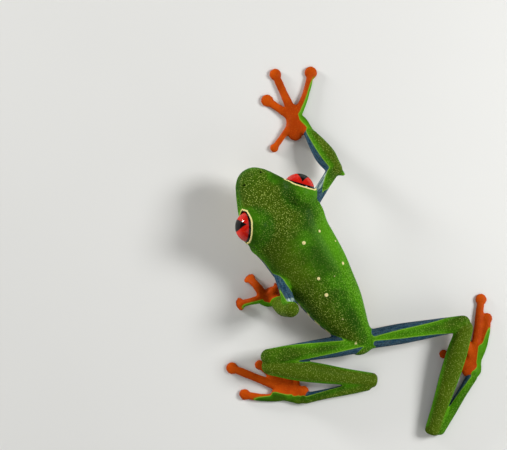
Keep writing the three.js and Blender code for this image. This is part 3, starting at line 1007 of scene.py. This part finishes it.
def skin_material(colours):
    shader = Shader("frog skin")
    place = shader.coordinates()
    wander = shader.noise(place, 1.1, 3.0) - 0.5
    blotch = shader.noise(place, 0.16, 3.0)
    fine = shader.noise(place, 3.2, 2.0)
    granule = shader.cells(place, 2.8)
    grain = shader.attribute("grain")

    def inside(name, soft, wobble):
        return (shader.attribute(name + "_edge") + wander * wobble).between(-soft, soft)

    green = shader.attribute("green_edge")
    leaf = shader.mix(blotch.between(0.36, 0.66), colours.leaf_deep, colours.leaf_bright)
    # Above 0 this field mixes in olive: the crown's and limbs' own tone, and painted shade on the
    # left of the back.
    tone = shader.attribute("olive_edge")
    olive = tone.between(0.0, 1.0) * blotch.between(0.2, 0.7, 0.7, 1.0)
    leaf = shader.mix(olive, leaf, colours.olive)
    # Painted light: vivid green where the olive field is below 0 (right of the neck and back), and
    # painted rim light along the edges of the green.
    painted_light = tone.between(0.0, -1.0) * 0.7
    rim = shader.attribute("rim")
    leaf = shader.mix(painted_light + green.between(rim * 1.2 + 0.9, 0.3) * rim, leaf, colours.painted_rim_light)
    # Painted highlight: pale glints on the tops of the granules, more where the green is olive.
    painted_glint = granule.between(0.42, 0.14) * fine.between(0.33, 0.57) * grain
    leaf = shader.mix(painted_glint * (olive * 0.6 + 0.35), leaf, colours.painted_glint)
    # Painted shade: darker in the hollows between the granules.
    pit_shade_share = granule.between(0.42, 0.62) * grain
    leaf = shader.mix(pit_shade_share * 0.45, leaf, colours.pit_shade)

    blue = shader.mix(fine.between(0.3, 0.7), colours.navy, colours.blue)
    blue = shader.mix(inside("bars", 0.12, 0.5), blue, colours.cream)
    # Faint pale streaks over the blue skin, and stronger where the painted highlight strip lies on
    # the upper arms and knees.
    fibres = shader.combined(shader.attribute("around") * 2.2, shader.attribute("along") * 0.4, 0.0)
    fibre = shader.noise(fibres, 1.0, 2.0).between(0.4, 0.6)
    sheen = fibre * 0.06 + inside("sheen", 0.3, 0.3) * (fibre * 0.6 + 0.12)
    blue = shader.mix(sheen, blue, colours.sheen)
    warm = shader.mix(blotch.between(0.35, 0.65), colours.orange, colours.orange_deep)
    warm = shader.mix(fine.between(0.5, 0.8) * 0.35, warm, colours.orange_light)
    base = shader.mix(inside("pale", 0.3, 0.6), blue, colours.white)
    base = shader.mix(inside("warm", 0.25, 0.5), base, warm)
    base = shader.mix(inside("green", 0.2, 0.12), base, leaf)
    line = (green + wander * 0.12 - 0.16).size().between(0.16, 0.04)
    base = shader.mix(line * 0.45, base, colours.edge_line)

    wart = (shader.attribute("wart") + wander * 0.3).between(1.15, 0.85)
    base = shader.mix(wart, base, colours.cream)
    # Painted shade: near-black inside the nostrils.
    nostril = shader.attribute("nostril").between(0.34, 0.2) * 0.9
    base = shader.mix(nostril, base, (0.004, 0.006, 0.002, 1))
    # Painted shade: dark along the mouth's groove.
    mouth = shader.attribute("mouth").between(0.2, 0.06) * 0.7
    base = shader.mix(mouth, base, (0.01, 0.02, 0.004, 1))

    lid = shader.attribute("lid") + wander * 0.12
    upper = shader.mix(fine.between(0.35, 0.65), colours.cream, colours.rim_yellow)
    height = shader.axis(place, 2) - EYE_HEIGHT
    rim = shader.mix((height + wander).between(-2.2, 0.4), colours.edge_line, upper)
    base = shader.mix(lid.between(0.5, 0.4), base, rim)
    # Painted shade: near-black at the socket's inner edge, in the gap round the eyeball.
    base = shader.mix(lid.between(0.14, 0.04), base, (0.003, 0.003, 0.002, 1))

    relief = (1 - granule) * grain + fine * 0.25
    rough = granule.between(0.1, 0.6, 0.4, 0.62)
    return shader.finish(
        Base_Color=base, Roughness=rough, Normal=shader.bump(relief, 0.16),
        Specular_IOR_Level=0.07, Coat_Weight=0.01, Coat_Roughness=0.2, IOR=1.33)


def eye_material(eye, colours):
    shader = Shader("eye " + eye.side)
    turn = Matrix(eye.axes.tolist()).transposed().to_euler()
    place = shader.coordinates(eye.centre, tuple(turn))
    out, across, up = (shader.axis(place, number) for number in range(3))
    ring = (across * across + up * up) ** 0.5
    spokes = shader.combined(across / ring * 3.2, up / ring * 3.2, ring * 0.35)
    vein = shader.noise(spokes, 2.2, 4.0, 0.6)
    streak = shader.noise(spokes, 5.5, 2.0, 0.5)
    # Painted shade: the iris darkens outward towards the lids, for depth.
    red = shader.mix(ring.between(1.2, 3.4), colours.red_bright, colours.red)
    red = shader.mix(vein.between(0.52, 0.7) * 0.45, red, colours.red_deep)
    red = shader.mix(streak.between(0.54, 0.7) * 0.25, red, colours.red_light)
    sideways = (across + eye.pupil_shift).size()
    slit = 1.45 * (1 - (up.size() / 3.3) ** 1.9) - sideways + (vein - 0.5) * 0.1
    red = shader.mix(slit.between(-0.45, 0.0) * 0.3, red, colours.red_deep)
    red = shader.mix(slit.between(-0.05, 0.03), red, (0.0006, 0.0006, 0.0006, 1))
    # A dark limbus ring, widened with painted shade where the lids overhang the eyeball.
    limbus_and_shade = (out + (vein - 0.5) * 0.2).between(LID_OPENING + 0.62, LID_OPENING + 0.42)
    red = shader.mix(limbus_and_shade, red, (0.0012, 0.0012, 0.0015, 1))
    return shader.finish(
        Base_Color=red, Roughness=vein.between(0.3, 0.7, 0.3, 0.42), Specular_IOR_Level=0.0,
        Coat_Weight=0.7, Coat_Roughness=0.008, Coat_IOR=1.4)


def floor_material(tint):
    shader = Shader("studio floor")
    place = shader.coordinates()
    cloud = shader.noise(place, 0.02, 2.0)
    pale = shader.mix(cloud, tint, [c * 0.97 for c in tint[:3]] + [1])
    return shader.finish(Base_Color=pale, Roughness=0.75)


# --- settings that a user may change ---
def colour(name, description, default):
    return bpy.props.FloatVectorProperty(
        name=name, description=description, default=default, size=4, min=0, max=1, subtype="COLOR")


class FrogSizes(bpy.types.PropertyGroup):
    """How finely the skin is made."""

    voxel: bpy.props.FloatProperty(
        name="Skin detail", description="Edge of the skin's mesh faces, in millimetres",
        default=0.3, min=0.15, max=1.0)


class FrogColours(bpy.types.PropertyGroup):
    """Colours of the skin, the eyes and the studio."""

    leaf_deep: colour("Deep green", "Darker green of the back", (0.02, 0.08, 0.001, 1))
    leaf_bright: colour("Bright green", "Lighter green of the back", (0.052, 0.2, 0.002, 1))
    # Painted rim light: vivid green along the edges of the green, also painted as light on the
    # right of the neck and back.
    painted_rim_light: colour("Rim green", "Vivid green along the edges", (0.09, 0.32, 0.003, 1))
    # Olive: the crown's and limbs' browner green, also painted as shade over the left of the back.
    olive: colour("Olive", "Browner green of the crown", (0.068, 0.112, 0.002, 1))
    # Painted highlight: pale glints painted on the tops of the skin's granules.
    painted_glint: colour("Specks", "Pale tops of the skin's granules", (0.46, 0.56, 0.13, 1))
    # Painted shade in the hollows between the skin's granules.
    pit_shade: colour("Pits", "Dark skin between the granules", (0.012, 0.042, 0.001, 1))
    edge_line: colour("Edge line", "Yellow-green line round the green", (0.32, 0.5, 0.05, 1))
    navy: colour("Navy", "Darker blue of the hidden skin", (0.006, 0.02, 0.042, 1))
    blue: colour("Blue", "Lighter blue of the hidden skin", (0.022, 0.075, 0.13, 1))
    sheen: colour("Sheen", "Pale blue of the upper arms and knees", (0.5, 0.66, 0.56, 1))
    cream: colour("Cream", "Bars of the flank, warts and upper lids", (0.75, 0.66, 0.3, 1))
    rim_yellow: colour("Rim yellow", "Yellow tone of the upper lids", (0.7, 0.6, 0.2, 1))
    white: colour("White", "Belly and throat", (0.72, 0.68, 0.55, 1))
    orange: colour("Orange", "Hands and feet", (0.5, 0.068, 0.002, 1))
    orange_deep: colour("Deep orange", "Shaded tone of hands and feet", (0.34, 0.038, 0.001, 1))
    orange_light: colour("Light orange", "Light tone of hands and feet", (0.72, 0.17, 0.01, 1))
    red_bright: colour("Bright red", "Iris round the pupil", (0.72, 0.016, 0.002, 1))
    # Red: the outer iris, its darker tone painted shade towards the lids.
    red: colour("Red", "Outer iris", (0.5, 0.006, 0.002, 1))
    red_deep: colour("Deep red", "Veins of the iris", (0.2, 0.002, 0.002, 1))
    red_light: colour("Light red", "Threads of the iris", (0.9, 0.12, 0.03, 1))
    floor: colour("Floor", "Studio floor", (0.72, 0.72, 0.7, 1))


# --- pieces ---
def finish_piece(name, mesh, material, nodes):
    """Brings a mesh made in millimetres to metres and makes it a piece of the part."""
    mesh.transform(Matrix.Scale(MM, 4))
    mesh.materials.clear()
    mesh.materials.append(material)
    mesh.shade_smooth()
    mesh.update()
    mesh.name = name
    piece = new_object(name, mesh)
    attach(piece, "root")
    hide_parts(*nodes)


class FROG_OT_skin(bpy.types.Operator):
    """Makes the skin over head, trunk, limbs and digits, with its markings"""

    bl_idname = "frog.skin"
    bl_label = "Skin"

    def execute(self, context):
        forms = bmesh.new()
        add_ball(forms, BODY.place, 120, 160)
        for eye in EYES:
            add_ball(forms, lids(eye), 64, 64)
        for limb in LIMBS:
            add_ball(forms, limb.place, 36, 56)
            if limb.kind == "digit":
                add_pad(forms, limb)
        for digits, limit in FANS:
            for pair in zip(digits, digits[1:]):
                add_web(forms, pair, limit)
        mesh = remeshed(mesh_of("forms", forms), context.scene.frog_sizes.voxel)
        skin = Surface(mesh)
        skin.fill_creases(24, crease_softness(skin.points))
        skin.smooth(4)
        skin.points[:, 2] = np.maximum(skin.points[:, 2], 0)
        skin.store()
        skin = Surface(refined(mesh, near_detail))
        skin.smooth(2)
        sculpt_head(skin)
        carve_sockets(skin)
        skin.points = np.clip(skin.points, *(np.array(corner) / MM for corner in CAD_BOX))
        skin.store()
        paint(skin)
        material = skin_material(context.scene.frog_colours)
        finish_piece("skin", mesh, material, FLESH)
        return {"FINISHED"}


class FROG_OT_eyes(bpy.types.Operator):
    """Makes the two eyeballs"""

    bl_idname = "frog.eyes"
    bl_label = "Eyes"

    def execute(self, context):
        for eye in EYES:
            ball = bmesh.new()
            add_ball(ball, lambda spots: eye.inward(spots[:, [2, 0, 1]] * EYE_RADIUS), 96, 72)
            mesh = mesh_of("eyeball_" + eye.side, ball)
            material = eye_material(eye, context.scene.frog_colours)
            finish_piece(mesh.name, mesh, material, ["eye_" + eye.side])
        return {"FINISHED"}


CAMERA_PLACE = (61.20, -31.09, 352.75)
CAMERA_TILT = 9.0  # degrees off straight down
CAMERA_TURN = 146.0  # degrees round the line of sight
CAMERA_LENS = 100
CAMERA_SENSOR = 36
NEAREST_SEEN = 10
FLOOR_RADIUS = 3000
FLOOR_DROP = 0.02
WORLD_TINT = (1.0, 0.99, 0.96, 1)
WORLD_STRENGTH = 0.2
LAMPS_AIM = (0, -15, 5)
LAMPS = (
    # name, place, edge, watts
    ("key", (-330, 110, 300), 150, 1.8),
    ("fill", (330, 160, 420), 420, 0.45),
    ("back", (-60, 420, 260), 260, 0.3),
    ("front", (100, -300, 420), 300, 0.2),
    ("sparkle", (173, -446, 91), 105, 1.75),
)


class FROG_OT_stage(bpy.types.Operator):
    """Sets the pale floor, the soft lamps and the camera"""

    bl_idname = "frog.stage"
    bl_label = "Stage"

    def execute(self, context):
        scene = context.scene
        plane = bmesh.new()
        bmesh.ops.create_circle(plane, cap_ends=True, segments=96, radius=FLOOR_RADIUS * MM)
        bmesh.ops.translate(plane, verts=plane.verts, vec=(0, 0, -FLOOR_DROP * MM))
        mesh = mesh_of("floor", plane)
        mesh.materials.append(floor_material(scene.frog_colours.floor))
        floor = new_object("floor", mesh)
        for name, place, edge, watts in LAMPS:
            data = bpy.data.lights.new(name, "AREA")
            data.shape = "SQUARE"
            data.size = edge * MM
            data.energy = watts
            lamp = new_object(name, data)
            lamp.location = Vector(place) * MM
            aim = Vector(LAMPS_AIM) - Vector(place)
            lamp.rotation_euler = aim.to_track_quat("-Z", "Y").to_euler()
        world = bpy.data.worlds.new("studio")
        world.use_nodes = True
        background = world.node_tree.nodes["Background"]
        background.inputs["Color"].default_value = WORLD_TINT
        background.inputs["Strength"].default_value = WORLD_STRENGTH
        scene.world = world
        data = bpy.data.cameras.new("camera")
        data.lens = CAMERA_LENS
        data.sensor_width = CAMERA_SENSOR
        data.clip_start = NEAREST_SEEN * MM
        camera = new_object("camera", data)
        tilt = Matrix.Rotation(math.radians(CAMERA_TILT), 4, "Y")
        turn = Matrix.Rotation(math.radians(CAMERA_TURN), 4, "Z")
        camera.matrix_world = Matrix.Translation(Vector(CAMERA_PLACE) * MM) @ tilt @ turn
        scene.camera = camera
        scene.view_settings.view_transform = "Standard"
        return {"FINISHED"}


class FROG_PT_pieces(bpy.types.Panel):
    """Lists the pieces and their settings"""

    bl_idname = "FROG_PT_pieces"
    bl_label = "Tree Frog"
    bl_space_type = "VIEW_3D"
    bl_region_type = "UI"
    bl_category = "Tree Frog"

    def draw(self, context):
        layout = self.layout
        for operator in OPERATORS:
            layout.operator(operator.bl_idname)
        for group in (context.scene.frog_sizes, context.scene.frog_colours):
            box = layout.box()
            for name in type(group).__annotations__:
                box.prop(group, name)


OPERATORS = (FROG_OT_skin, FROG_OT_eyes, FROG_OT_stage)
CLASSES = (FrogSizes, FrogColours, *OPERATORS, FROG_PT_pieces)


def register():
    for cls in CLASSES:
        bpy.utils.register_class(cls)
    bpy.types.Scene.frog_sizes = bpy.props.PointerProperty(type=FrogSizes)
    bpy.types.Scene.frog_colours = bpy.props.PointerProperty(type=FrogColours)


def unregister():
    del bpy.types.Scene.frog_colours
    del bpy.types.Scene.frog_sizes
    for cls in reversed(CLASSES):
        bpy.utils.unregister_class(cls)


def main():
    register()
    bpy.ops.frog.skin()
    bpy.ops.frog.eyes()
    bpy.ops.frog.stage()


if __name__ == "__main__":
    main()
